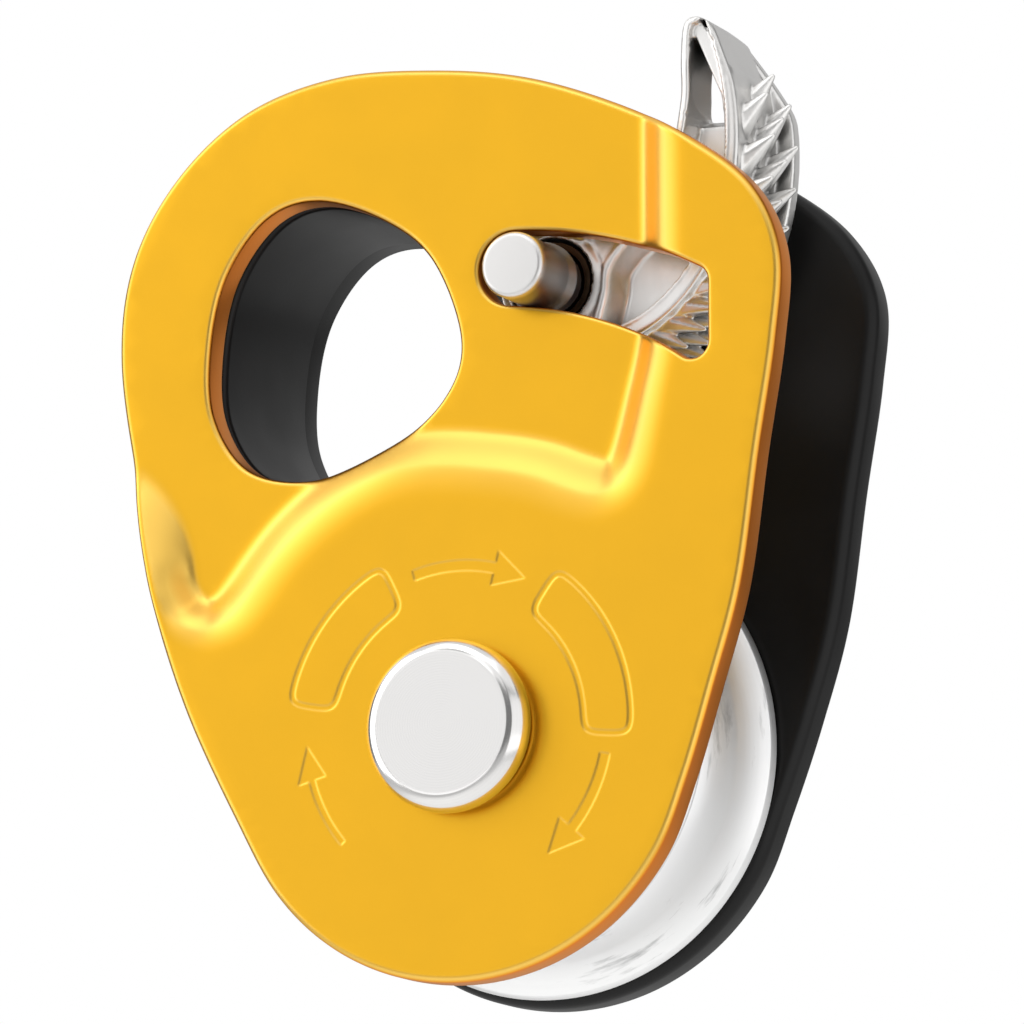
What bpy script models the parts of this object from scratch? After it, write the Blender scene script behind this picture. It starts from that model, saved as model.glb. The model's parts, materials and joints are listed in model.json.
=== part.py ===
"""Compact rope pulley with a toothed, sprung cam that lets rope run one way only.

The sheave turns on a sealed ball bearing between a fixed side plate, which carries the
attachment collar and the cam, and a moving side plate, which swings open on the sheave's axle.

Lengths are in millimetres and become metres in to_m(). X is right, -Y is the front and +Z is up.
Everything is drawn about the sheave's centre; the empty "pulley" then puts the middle of the
attachment hole at the world's origin.
"""

import math

import bmesh
import bpy
from mathutils import Vector

MM = 0.001

# Driving dimensions
ATTACH_X, ATTACH_Z = -12.0, 33.5  # middle of the attachment hole, from the sheave's axis
FIT = 0.3  # gap kept where two pieces meet
THROUGH = 18.0  # a cutter that goes right through reaches this far from the middle plane

TREAD_R = 12.5
FLANGE_R = 20.1
SHEAVE_HALF = 8.0
ROPE_R_MAX = 11.0 / 2
ROPE_PATH_R = TREAD_R + 2 * ROPE_R_MAX + 0.2

PLATE_INNER = SHEAVE_HALF + 0.4  # from the middle plane to the plates' inner faces
MOVING_T = 3.0
STEP = 2.4  # how far the moving plate's upper level is pressed inwards
STEP_WIDTH = 3.6
ARCH_R, ARCH_WIDEN = 22.6, 1.2  # middle of the step over the sheave, and its growth to the left
WIDEN_FROM_X, WIDEN_OVER = 4.0, 12.0
BEND_X, BEND_LEAN = 16.9, 2.8  # middle of the upright step, and how far its foot leans left
LEAN_FROM_Z, LEAN_OVER = 36.0, 14.0
CORNER_X, CORNER_Z = -26.2, 16.0  # a point on the slanting step at the lower left
CORNER_NORMAL = (0.58, 0.55)  # across that step, which is wider than the others
CORNER_BLEND, BEND_BLEND = 3.0, 1.0  # how roundly these steps run into the arch
SHEET_X, SHEET_Z = -1.5, 17.2  # middle and half size of the sheet before it is trimmed
SHEET_HALF_X, SHEET_HALF_Z = 33.5, 40.5
FIXED_T = 4.0
MOVING_FRONT = -(PLATE_INNER + MOVING_T)
FIXED_REAR = PLATE_INNER + FIXED_T
UPPER_INNER = MOVING_FRONT + STEP + MOVING_T

AXLE_R = 4.0
HEAD_R = 7.1
HEAD_FRONT = MOVING_FRONT - 3.3
HEAD_T = 2.3
BORE_R = AXLE_R + FIT
BUSH_WALL = 1.0
SPACER_R = 5.9
END_RING_R = 6.3
END_RING_T = 1.3

RACE_R = 6.95  # circle that the balls run on
BALL_R = 1.35
BALLS = 8
BEARING_OUTER_R = 9.2
BEARING_HALF = 3.0

CAM_X, CAM_Z = 5.2, 37.6  # cam's axis, from the sheave's axis
CAM_SWING = 104.0
CAM_R0 = 13.6  # rim radius straight out to the right of the cam's axis
CAM_GROWTH = 0.0115  # rim radius grows by this share for each degree upwards
RIM_START, RIM_END = -44.0, 46.0
RIM_T = 1.7
RIM_HALF = 4.4
CHEEK_T = 1.1
CHEEK_EXTRA = 1.9
HUB_R = 4.6
HUB_HALF = 5.5
CAM_SPRING_R, CAM_WIRE, CAM_SPRING_TURNS = 5.3, 0.5, 2.25
HUB_ROOM_R = CAM_SPRING_R + CAM_WIRE / 2 + FIT
CAM_BORE_R = 3.7
TOOTH_R, TOOTH_OUT, TOOTH_SINK = 1.15, 2.3, 0.9
TOOTH_ROWS = (-3.1, 0.0, 3.1)
TOOTH_START, TOOTH_PITCH = -30.0, 9.0
TOOTH_LEAN = 6.0
CAM_FRONT, CAM_REAR = -3.0, 3.4  # the web between the cam's bands

# Cam's outline from the rim's upper end, anticlockwise about its axis, and its window
CAM_TIP = [(12.9, 21.4), (12.0, 21.2)]
CAM_SPINE = [(11.5, 14.0), (10.1, 8.6), (6.4, 5.0), (2.6, 3.9)]
BACK_BAND_INNER = [(7.6, 4.2), (11.4, 7.8), (13.1, 13.8), (14.0, 19.2)]
CHEEK_START, CHEEK_END = -14, 38
CHEEK_TOP, CHEEK_SPINE = [(15.9, 17.2)], [(12.6, 16.0), (8.0, 4.0)]
CAM_WINDOW = [(13.2, 12.5), (14.1, 17.6), (15.9, 15.4), (16.6, 12.0), (16.1, 9.8), (13.4, 9.6)]

PIN_R = 2.6
PIN_BORE_R = 1.5
PIN_HEAD_R = 4.2
BUTTON_R = 2.75
BUTTON_FRONT = -12.3
BUTTON_TRAVEL = 1.5
SLOT_MID_R, SLOT_HALF = 38.25, 3.1
SLOT_START = 5.8  # degrees clockwise from straight up
SLOT_RIGHT_X = 22.0
SLOT_CORNER = 1.4
SLOT_FLARE = 0.7  # how much further out the slot reaches at its right end

ROUND = 48  # sides of a large turned piece
SMALL_ROUND = 24

# Side plate's outline above the sheave, clockwise from the lower left, then its lower arc
PLATE_ARC_R = 20.6
PLATE_ARC = (-14.0, -142.0)  # degrees from +X, clockwise
PLATE_SIDE = (
    (-20.0, -6.3), (-24.5, 2.7), (-27.8, 12.0), (-30.4, 22.4), (-32.1, 33.3), (-31.0, 41.6),
    (-26.9, 48.4), (-20.5, 53.4), (-12.4, 55.6), (-3.6, 55.4), (4.9, 54.0), (13.3, 50.9),
    (20.5, 47.0), (25.8, 42.6), (28.2, 37.0), (27.8, 30.0), (26.3, 20.9), (24.7, 10.4),
    (22.3, 2.2),
)
FIXED_EXTRA = 0.4  # how much wider the fixed plate is on the rope's side
EXTRA_FROM_X, EXTRA_TO_Z = 14.0, 42.0

HOLE = (
    (-0.9, 32.4), (-2.5, 27.6), (-7.5, 23.8), (-14.0, 21.8), (-20.0, 23.0), (-23.3, 27.6),
    (-23.7, 33.4), (-22.3, 39.5), (-18.6, 44.1), (-13.8, 45.2), (-7.8, 43.0), (-3.4, 39.2),
)
COLLAR_WALL = 3.0


def to_m(*values):
    return Vector([value * MM for value in values])


def clear_scene():
    for obj in list(bpy.data.objects):
        bpy.data.objects.remove(obj, do_unlink=True)


def make_collection(name, parent):
    collection = bpy.data.collections.new(name)
    parent.children.link(collection)
    return collection


def make_material(name, colour, roughness, metallic):
    material = bpy.data.materials.new(name)
    material.use_nodes = True
    shader = material.node_tree.nodes["Principled BSDF"]
    shader.inputs["Base Color"].default_value = (*colour, 1.0)
    shader.inputs["Roughness"].default_value = roughness
    shader.inputs["Metallic"].default_value = metallic
    material.diffuse_color = (*colour, 1.0)
    return material


clear_scene()
PARTS = make_collection("rope_pulley", bpy.context.scene.collection)
CUTTERS = make_collection("cutters", bpy.context.scene.collection)
CAM_SHAPES = make_collection("cam_shapes", CUTTERS)
CUTTERS.hide_render = True


def make_pivot(name, x, z, parent=None):
    """An empty on a joint's axis, which carries the pieces that turn there."""
    pivot = bpy.data.objects.new(name, None)
    pivot.location = to_m(x, 0, z)
    pivot.parent = parent
    PARTS.objects.link(pivot)
    return pivot


PULLEY = make_pivot("pulley", -ATTACH_X, -ATTACH_Z)
SWING = make_pivot("plate_swing_axis", 0, 0, PULLEY)
SHEAVE_AXIS = make_pivot("sheave_axis", 0, 0, PULLEY)
CAM_AXIS = make_pivot("cam_axis", CAM_X, CAM_Z, PULLEY)


# Outlines, as lists of (x, z)
def smooth_loop(points, steps):
    """A closed Catmull-Rom curve through the points."""
    count = len(points)
    curve = []
    for i in range(count):
        a, b, c, d = (Vector(points[(i + k) % count]) for k in (-1, 0, 1, 2))
        for step in range(steps):
            t = step / steps
            curve.append(tuple(
                0.5 * (2 * b + (c - a) * t + (2 * a - 5 * b + 4 * c - d) * t**2
                       + (3 * b - a - 3 * c + d) * t**3)
            ))
    return curve


def on_circle(radius, angle):
    """The point at this angle, in degrees from +X, on a circle about the origin."""
    return (radius * math.cos(math.radians(angle)), radius * math.sin(math.radians(angle)))


def arc(x, z, radius, start, end, count):
    """Points on a circle, angles in degrees from +X."""
    points = [on_circle(radius, start + (end - start) * i / (count - 1)) for i in range(count)]
    return [(x + dx, z + dz) for dx, dz in points]


def plate_outline(extra=0.0):
    """The side plates' outline. extra widens it on the rope's side, the right."""
    side = [
        (x + (extra if x > EXTRA_FROM_X and z < EXTRA_TO_Z else 0), z) for x, z in PLATE_SIDE
    ]
    reach = PLATE_ARC_R + extra / 4
    lower = arc(0, 0, reach, PLATE_ARC[0], PLATE_ARC[1], 8)
    return smooth_loop(lower + side, 3)


def grown(outline, distance):
    """The outline moved outwards, for a loop that runs clockwise."""
    count = len(outline)
    moved = []
    for i in range(count):
        along = (Vector(outline[(i + 1) % count]) - Vector(outline[i - 1])).normalized()
        moved.append((outline[i][0] - along.y * distance, outline[i][1] + along.x * distance))
    return moved


def slot_outline():
    """The curved slot: an arc about the sheave's axle, round at the left, upright at the right."""
    start = 90 - SLOT_START
    outer, inner = SLOT_MID_R + SLOT_HALF, SLOT_MID_R - SLOT_HALF
    corner_x = SLOT_RIGHT_X - SLOT_CORNER
    right_outer = outer + SLOT_FLARE
    top_end = math.degrees(math.acos(corner_x / (right_outer - SLOT_CORNER)))
    low_end = math.degrees(math.acos(corner_x / (inner + SLOT_CORNER)))
    left_end = arc(*on_circle(SLOT_MID_R, start), SLOT_HALF, start - 180, start - 360, 9)
    steps = 5
    top = [
        on_circle(outer + SLOT_FLARE * k / steps, start + (top_end - start) * k / steps)
        for k in range(1, steps)
    ]
    top_corner = arc(*on_circle(right_outer - SLOT_CORNER, top_end), SLOT_CORNER, top_end, 0, 4)
    low_corner = arc(*on_circle(inner + SLOT_CORNER, low_end), SLOT_CORNER, 0, low_end - 180, 6)
    low = arc(0, 0, inner, low_end, start, steps + 1)[1:-1]
    return left_end + top + top_corner + low_corner + low


def rim_radius(angle):
    return CAM_R0 * math.exp(CAM_GROWTH * angle)


def rim_points(start, end, extra, count):
    """Points along the cam's rim, about the cam's axis."""
    angles = [start + (end - start) * i / (count - 1) for i in range(count)]
    return [on_circle(rim_radius(angle) + extra, angle) for angle in angles]


# Solids
def add_object(name, mesh, material, parent, collection=PARTS):
    obj = bpy.data.objects.new(name, mesh)
    obj.parent = parent
    if material:
        mesh.materials.append(material)
    collection.objects.link(obj)
    if collection is not PARTS:
        obj.hide_render = True
        obj.display_type = "WIRE"
    return obj


def prism(name, loops, front, rear, material, parent, collection=PARTS):
    """A flat shape in the XZ plane, made solid from y = front to y = rear. Inner loops are holes."""
    curve = bpy.data.curves.new(name, "CURVE")
    curve.dimensions = "2D"
    curve.fill_mode = "BOTH"
    curve.extrude = (rear - front) / 2 * MM
    for loop in loops:
        spline = curve.splines.new("POLY")
        spline.points.add(len(loop) - 1)
        spline.use_cyclic_u = True
        for point, (x, z) in zip(spline.points, loop):
            point.co = (*to_m(x, z, 0), 1.0)
    flat = bpy.data.objects.new(name + "_outline", curve)
    PARTS.objects.link(flat)
    bpy.context.view_layer.update()
    graph = bpy.context.evaluated_depsgraph_get()
    mesh = bpy.data.meshes.new_from_object(flat.evaluated_get(graph))
    bpy.data.objects.remove(flat, do_unlink=True)
    shape = bmesh.new()
    shape.from_mesh(mesh)
    bmesh.ops.remove_doubles(shape, verts=shape.verts, dist=1e-6)
    middle = (front + rear) / 2
    for vert in shape.verts:
        x, z, depth = vert.co
        vert.co = (x, middle * MM - depth, z)
    bmesh.ops.recalc_face_normals(shape, faces=shape.faces)
    shape.to_mesh(mesh)
    shape.free()
    return add_object(name, mesh, material, parent, collection)


def turned(name, profile, material, parent, sides=ROUND, collection=PARTS, closed=True):
    """A profile of (radius, y) spun about Y. It runs along the outer side from front to rear."""
    mesh = bpy.data.meshes.new(name)
    shape = bmesh.new()
    verts = [shape.verts.new(to_m(radius, 0, -y)) for radius, y in profile]
    for first, second in zip(verts, verts[1:]):
        shape.edges.new((first, second))
    if closed:
        shape.edges.new((verts[-1], verts[0]))
    shape.to_mesh(mesh)
    shape.free()
    obj = add_object(name, mesh, material, parent, collection)
    obj.rotation_euler = (math.radians(90), 0, 0)
    screw = obj.modifiers.new("Screw", "SCREW")
    screw.axis = "Z"
    screw.steps = screw.render_steps = sides
    screw.use_merge_vertices = True
    screw.merge_threshold = 0.00001
    screw.use_smooth_shade = False
    return obj


def ring(name, inner, outer, front, rear, material, parent, sides=ROUND, collection=PARTS):
    profile = ((outer, front), (outer, rear), (inner, rear), (inner, front))
    return turned(name, profile, material, parent, sides, collection)


def rod_cutter(name, radius, front, rear, parent, sides=ROUND):
    profile = ((0, front), (radius, front), (radius, rear), (0, rear))
    return turned(name, profile, None, parent, sides, CUTTERS, closed=False)


def coil(name, radius, wire, turns, front, rear, material, parent):
    """A coil spring about Y."""
    curve = bpy.data.curves.new(name, "CURVE")
    curve.dimensions = "3D"
    curve.bevel_depth = wire / 2 * MM
    curve.bevel_resolution = 1
    curve.use_fill_caps = True
    per_turn = 28
    count = int(turns * per_turn) + 1
    spline = curve.splines.new("POLY")
    spline.points.add(count - 1)
    for i, point in enumerate(spline.points):
        angle = 2 * math.pi * i / per_turn
        y = front + wire / 2 + (rear - front - wire) * i / (count - 1)
        point.co = (*to_m(radius * math.cos(angle), y, radius * math.sin(angle)), 1.0)
    obj = bpy.data.objects.new(name, curve)
    obj.parent = parent
    curve.materials.append(material)
    PARTS.objects.link(obj)
    return obj


def combine(obj, operation, other=None, collection=None):
    boolean = obj.modifiers.new(operation.title(), "BOOLEAN")
    boolean.operation = operation
    boolean.solver = "EXACT"
    if collection:
        boolean.operand_type = "COLLECTION"
        boolean.collection = collection
    else:
        boolean.object = other


def cut(obj, *others):
    for other in others:
        combine(obj, "DIFFERENCE", other)


GOLD = make_material("gold_anodised", (0.86, 0.47, 0.03), 0.35, 1.0)
BLACK = make_material("black_anodised", (0.012, 0.012, 0.013), 0.45, 0.4)
STEEL = make_material("turned_steel", (0.68, 0.67, 0.65), 0.25, 1.0)
CAST = make_material("cast_steel", (0.52, 0.51, 0.49), 0.35, 1.0)
ALLOY = make_material("polished_alloy", (0.82, 0.82, 0.83), 0.2, 1.0)
BRONZE = make_material("bronze", (0.45, 0.27, 0.12), 0.4, 1.0)
SPRING = make_material("spring_steel", (0.35, 0.35, 0.36), 0.3, 1.0)
SEAL = make_material("seal_rubber", (0.03, 0.03, 0.03), 0.8, 0.0)
CAGE = make_material("cage_plastic", (0.12, 0.09, 0.05), 0.6, 0.0)


# Fixed side plate with the attachment collar
def make_fixed_plate():
    hole = smooth_loop(HOLE, 3)
    plate = prism(
        "fixed_side_plate", [plate_outline(FIXED_EXTRA)], PLATE_INNER, FIXED_REAR, BLACK, PULLEY
    )
    collar = prism(
        "collar", [grown(hole, COLLAR_WALL)], UPPER_INNER + FIT, PLATE_INNER + 1, None, PULLEY, CUTTERS
    )
    rope_path = rod_cutter("rope_path", ROPE_PATH_R, -PLATE_INNER, PLATE_INNER, SHEAVE_AXIS)
    cam_pocket = prism(
        "cam_pocket",
        [arc(0, 0, HUB_R + 0.4, 90, 270, 13) + rim_points(-66, 24, 3.0, 16)],
        UPPER_INNER - 1, PLATE_INNER, None, CAM_AXIS, CUTTERS,
    )
    cam_pocket.rotation_euler = (0, math.radians(CAM_SWING), 0)
    hub_room = rod_cutter("hub_room", HUB_ROOM_R, -PLATE_INNER, PLATE_INNER, CAM_AXIS)
    hole_tool = prism("hole_tool", [hole], -THROUGH, THROUGH, None, PULLEY, CUTTERS)
    cut(collar, rope_path, hub_room, cam_pocket)
    combine(plate, "UNION", collar)
    axle_bore = rod_cutter("axle_bore", BORE_R, 0, THROUGH, SHEAVE_AXIS)
    seat = FIXED_REAR - END_RING_T - 2 * FIT
    end_seat = rod_cutter("end_seat", END_RING_R + FIT, seat, THROUGH, SHEAVE_AXIS)
    pin_bore = rod_cutter("pin_bore", PIN_R + FIT, 0, THROUGH, CAM_AXIS)
    pin_seat = rod_cutter("pin_seat", PIN_HEAD_R + FIT, seat, THROUGH, CAM_AXIS)
    cut(plate, hole_tool, axle_bore, end_seat, pin_bore, pin_seat)


# Moving side plate: one sheet, pressed to two levels
def smooth_min(a, b, blend):
    """The smaller of two numbers, with a rounded change-over."""
    overlap = max(blend - abs(a - b), 0.0) / blend
    return min(a, b) - overlap**2 * blend / 4


def step_weight(x, z):
    """0 on the outer level, over the sheave and on the rope's side, to 1 on the pressed-in one."""
    leftwards = max(0.0, min(1.0, (WIDEN_FROM_X - x) / WIDEN_OVER))
    arch = math.hypot(x, z) - ARCH_R - ARCH_WIDEN * leftwards
    downwards = max(0.0, min(1.0, (LEAN_FROM_Z - z) / LEAN_OVER))
    upright = BEND_X - BEND_LEAN * downwards**1.5 - x
    corner = (x - CORNER_X) * CORNER_NORMAL[0] + (z - CORNER_Z) * CORNER_NORMAL[1]
    inside = smooth_min(smooth_min(arch, corner, CORNER_BLEND), upright, BEND_BLEND)
    t = max(0.0, min(1.0, 0.5 + inside / STEP_WIDTH))
    return t * t * (3 - 2 * t)


def make_moving_plate():
    mesh = bpy.data.meshes.new("moving_side_plate")
    sheet = bmesh.new()
    bmesh.ops.create_grid(sheet, x_segments=36, y_segments=44, size=1.0)
    for vert in sheet.verts:
        x = vert.co.x * SHEET_HALF_X + SHEET_X
        z = vert.co.y * SHEET_HALF_Z + SHEET_Z
        vert.co = to_m(x, MOVING_FRONT + STEP * step_weight(x, z), z)
    bmesh.ops.dissolve_limit(
        sheet, angle_limit=math.radians(0.1), verts=sheet.verts, edges=sheet.edges
    )
    bmesh.ops.triangulate(sheet, faces=sheet.faces)
    bmesh.ops.recalc_face_normals(sheet, faces=sheet.faces)
    if sum(face.normal.y for face in sheet.faces) > 0:
        bmesh.ops.reverse_faces(sheet, faces=sheet.faces)
    sheet.to_mesh(mesh)
    sheet.free()
    plate = add_object("moving_side_plate", mesh, GOLD, SWING)
    solidify = plate.modifiers.new("Solidify", "SOLIDIFY")
    solidify.thickness = MOVING_T * MM
    solidify.offset = -1.0
    trim = prism(
        "moving_plate_outline",
        [plate_outline(), smooth_loop(HOLE, 3), slot_outline()],
        -THROUGH, 0, None, SWING, CUTTERS,
    )
    combine(plate, "INTERSECT", trim)
    cut(plate, rod_cutter("bush_bore", BORE_R + BUSH_WALL + FIT, -THROUGH, 0, SWING))


# Axle, bearing and sheave
def make_axle():
    rear = FIXED_REAR - FIT
    edge = 1.2
    profile = [(0, HEAD_FRONT)]
    profile += [
        (HEAD_R - edge + edge * math.sin(a), HEAD_FRONT + edge - edge * math.cos(a))
        for a in (math.radians(k * 22.5) for k in range(5))
    ]
    profile += [(HEAD_R, HEAD_FRONT + HEAD_T), (AXLE_R, HEAD_FRONT + HEAD_T), (AXLE_R, rear), (0, rear)]
    turned("sheave_axle", profile, STEEL, PULLEY, closed=False)
    ring("head_washer", BORE_R, HEAD_R - 0.5, HEAD_FRONT + HEAD_T + FIT, MOVING_FRONT - FIT,
         STEEL, PULLEY)
    ring("plate_bush", BORE_R, BORE_R + BUSH_WALL, MOVING_FRONT, -PLATE_INNER, BRONZE, SWING)
    ring("axle_end_ring", BORE_R, END_RING_R, rear - END_RING_T, rear, STEEL, PULLEY)
    inner_end, outer_end = BEARING_HALF + FIT, PLATE_INNER - FIT
    ring("front_spacer", BORE_R, SPACER_R, -outer_end, -inner_end, STEEL, PULLEY, 32)
    ring("rear_spacer", BORE_R, SPACER_R, inner_end, outer_end, STEEL, PULLEY, 32)


def groove(radius, side):
    """Points of a ball's groove, in the way that a profile runs: side 1 faces out, -1 faces in."""
    reach = BALL_R + FIT / 2
    half = math.acos(min(1.0, abs(RACE_R - radius) / reach))
    angles = [half * (1 - k / 3) for k in range(7)]
    return [(RACE_R - side * reach * math.cos(a), -side * reach * math.sin(a)) for a in angles]


def make_bearing():
    inner_r, outer_r = 6.1, 7.8
    profile = [(inner_r, -BEARING_HALF)] + groove(inner_r, 1)
    profile += [(inner_r, BEARING_HALF), (BORE_R, BEARING_HALF), (BORE_R, -BEARING_HALF)]
    turned("bearing_inner_ring", profile, STEEL, PULLEY, 32)
    profile = [(BEARING_OUTER_R, -BEARING_HALF), (BEARING_OUTER_R, BEARING_HALF), (outer_r, BEARING_HALF)]
    profile += groove(outer_r, -1) + [(outer_r, -BEARING_HALF)]
    turned("bearing_outer_ring", profile, STEEL, SHEAVE_AXIS, 32)
    for name, front in (("front_seal", -BEARING_HALF), ("rear_seal", BEARING_HALF - 0.5)):
        ring(name, inner_r + FIT, outer_r - FIT, front, front + 0.5, SEAL, SHEAVE_AXIS, 32)

    ball = bpy.data.meshes.new("bearing_ball")
    shape = bmesh.new()
    bmesh.ops.create_icosphere(shape, subdivisions=2, radius=BALL_R * MM)
    shape.to_mesh(ball)
    shape.free()
    ball.materials.append(STEEL)
    for i in range(BALLS):
        angle = 2 * math.pi * i / BALLS
        obj = add_object(f"bearing_ball_{i + 1}", ball, None, SHEAVE_AXIS)
        obj.location = to_m(RACE_R * math.cos(angle), 0, RACE_R * math.sin(angle))

    cage = ring("bearing_cage", RACE_R - 0.35, RACE_R + 0.35, 1.7, 2.1, CAGE, SHEAVE_AXIS, 32)
    for i in range(BALLS):
        finger = bpy.data.meshes.new("cage_finger")
        shape = bmesh.new()
        bmesh.ops.create_cube(shape, size=1.0)
        bmesh.ops.scale(shape, vec=to_m(0.5, 2.8, 1.0), verts=shape.verts)
        bmesh.ops.translate(shape, vec=to_m(RACE_R, 0.55, 0), verts=shape.verts)
        shape.to_mesh(finger)
        shape.free()
        obj = add_object(f"cage_finger_{i + 1}", finger, None, SHEAVE_AXIS, CUTTERS)
        obj.rotation_euler = (0, -2 * math.pi * (i + 0.5) / BALLS, 0)
        combine(cage, "UNION", obj)


def make_sheave():
    seat = 5.5
    half = SHEAVE_HALF
    bore = BEARING_OUTER_R + FIT
    profile = [(FLANGE_R - 0.5, -half), (FLANGE_R, -half + 0.4), (FLANGE_R, -half + 0.9)]
    profile += [
        (TREAD_R + seat - seat * math.sin(a), -seat * math.cos(a))
        for a in (math.pi * k / 10 for k in range(11))
    ]
    profile += [(FLANGE_R, half - 0.9), (FLANGE_R, half - 0.4), (FLANGE_R - 0.5, half)]
    profile += [(bore, half), (bore, -BEARING_HALF - FIT), (bore - 1, -BEARING_HALF - FIT), (bore - 1, -half)]
    turned("sheave", profile, ALLOY, SHEAVE_AXIS, 64)
    clip = arc(0, 0, bore - FIT, 60, 390, 25) + arc(0, 0, bore - FIT - 1.3, 390, 60, 25)
    prism("bearing_clip", [clip], BEARING_HALF + FIT, BEARING_HALF + 1.2, SPRING, SHEAVE_AXIS)


# Cam, its axle and its button
def cam_shape(name, outline, front, rear):
    return prism(name, [outline], front, rear, None, CAM_AXIS, CAM_SHAPES)


def make_cam():
    heel = [(0.0, -HUB_R + 0.4)]
    rim = rim_points(RIM_START, RIM_END, 0, 16)
    body = prism("cam", [rim + CAM_TIP + CAM_SPINE + heel], CAM_FRONT, CAM_REAR, CAST, CAM_AXIS)
    rim_inner = [(CAM_TIP[-1][0], 18.6)] + rim_points(RIM_END - 3, RIM_START, -RIM_T, 16)
    cam_shape("rim_band", rim + CAM_TIP + rim_inner, -RIM_HALF, RIM_HALF)
    cam_shape("back_band", CAM_TIP + CAM_SPINE[:3] + BACK_BAND_INNER, -RIM_HALF, RIM_HALF)
    cheek = rim_points(CHEEK_START, CHEEK_END, CHEEK_EXTRA, 12) + CHEEK_TOP + CAM_TIP + CHEEK_SPINE
    cam_shape("rear_cheek", cheek, RIM_HALF - FIT, RIM_HALF + CHEEK_T)
    ring("cam_hub", CAM_BORE_R - 1, HUB_R, -HUB_HALF, HUB_HALF, None, CAM_AXIS, 32, CAM_SHAPES)
    for row, y in enumerate(TOOTH_ROWS):
        angle = TOOTH_START + TOOTH_PITCH * 0.5 * (row % 2)
        while angle < RIM_END - 2:
            add_tooth(angle, y)
            angle += TOOTH_PITCH
    combine(body, "UNION", collection=CAM_SHAPES)
    window = smooth_loop(CAM_WINDOW, 3)
    cut(
        body,
        prism("cam_window", [window], -THROUGH, THROUGH, None, CAM_AXIS, CUTTERS),
        rod_cutter("cam_bore", CAM_BORE_R, -THROUGH, THROUGH, CAM_AXIS, 32),
    )


def add_tooth(angle, y):
    mesh = bpy.data.meshes.new("tooth")
    shape = bmesh.new()
    length = TOOTH_OUT + TOOTH_SINK
    bmesh.ops.create_cone(
        shape, cap_ends=True, segments=8, radius1=TOOTH_R * MM, radius2=0.12 * MM, depth=length * MM
    )
    bmesh.ops.translate(shape, vec=to_m(0, 0, length / 2 - TOOTH_SINK), verts=shape.verts)
    shape.to_mesh(mesh)
    shape.free()
    reach = rim_radius(angle)
    obj = add_object("tooth", mesh, None, CAM_AXIS, CAM_SHAPES)
    radians = math.radians(angle)
    obj.location = to_m(reach * math.cos(radians), y, reach * math.sin(radians))
    obj.rotation_euler = (0, math.radians(90 - angle - TOOTH_LEAN), 0)


def make_cam_fittings():
    rear = FIXED_REAR - FIT
    front, bore_end = -4.0, 8.6
    head = rear - END_RING_T
    wide = PIN_HEAD_R
    profile = (
        (0, bore_end), (PIN_BORE_R, bore_end), (PIN_BORE_R, front), (PIN_R, front),
        (PIN_R, head), (wide, head), (wide, rear), (0, rear),
    )
    turned("cam_axle", profile, STEEL, CAM_AXIS, SMALL_ROUND, closed=False)
    ring("cam_bush", PIN_R + FIT, CAM_BORE_R - FIT, front, HUB_HALF, BRONZE, CAM_AXIS, SMALL_ROUND)
    ring("cam_spacer", PIN_R + FIT, HUB_R - 0.2, HUB_HALF + FIT, PLATE_INNER - FIT,
         STEEL, CAM_AXIS, SMALL_ROUND)
    coil("cam_spring", CAM_SPRING_R, CAM_WIRE, CAM_SPRING_TURNS, HUB_HALF + 0.5, PLATE_INNER - FIT,
         SPRING, CAM_AXIS)
    edge = 0.5
    stem_end, stem_r, head_rear = 4.0, PIN_BORE_R - FIT, -6.0
    profile = [(0, BUTTON_FRONT)]
    profile += [
        (BUTTON_R - edge + edge * math.sin(a), BUTTON_FRONT + edge - edge * math.cos(a))
        for a in (math.radians(k * 30) for k in range(4))
    ]
    profile += [(BUTTON_R, head_rear), (stem_r, head_rear), (stem_r, stem_end), (0, stem_end)]
    turned("cam_button", profile, STEEL, CAM_AXIS, SMALL_ROUND, closed=False)
    coil("button_spring", 0.95, 0.35, 4, stem_end + BUTTON_TRAVEL + FIT, bore_end - FIT,
         SPRING, CAM_AXIS)


make_fixed_plate()
make_moving_plate()
make_axle()
make_bearing()
make_sheave()
make_cam()
make_cam_fittings()
for part in PARTS.objects:
    if part.type == "MESH":
        part.data.shade_smooth()
        part.data.set_sharp_from_angle(angle=math.radians(32))
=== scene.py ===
"""Looks of the rope pulley: detailed plates, cam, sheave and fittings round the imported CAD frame.

Lengths are in millimetres about the sheave's axis, with X right, -Y the front and +Z up, and
become the frame's metres in place(). Angles are in degrees.
"""

import json
import math

import bpy
import numpy as np
from mathutils import Matrix, Vector
from mathutils.geometry import delaunay_2d_cdt


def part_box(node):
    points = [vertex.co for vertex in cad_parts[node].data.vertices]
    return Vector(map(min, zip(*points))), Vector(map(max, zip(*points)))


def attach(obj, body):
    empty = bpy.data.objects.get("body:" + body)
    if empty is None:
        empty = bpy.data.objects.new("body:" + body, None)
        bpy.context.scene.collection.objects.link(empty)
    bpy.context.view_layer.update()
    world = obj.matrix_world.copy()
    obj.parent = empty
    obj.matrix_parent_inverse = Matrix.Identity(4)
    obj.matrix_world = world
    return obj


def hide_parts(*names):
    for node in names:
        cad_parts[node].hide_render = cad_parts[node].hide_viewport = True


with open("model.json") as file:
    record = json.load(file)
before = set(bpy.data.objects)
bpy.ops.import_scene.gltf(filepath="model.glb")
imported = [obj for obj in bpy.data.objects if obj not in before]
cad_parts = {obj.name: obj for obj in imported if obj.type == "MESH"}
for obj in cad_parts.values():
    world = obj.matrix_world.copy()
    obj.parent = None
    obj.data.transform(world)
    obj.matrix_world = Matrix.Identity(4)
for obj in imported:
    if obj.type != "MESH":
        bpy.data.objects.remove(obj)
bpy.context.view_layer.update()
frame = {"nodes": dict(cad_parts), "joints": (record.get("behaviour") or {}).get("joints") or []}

MM = 0.001
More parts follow.
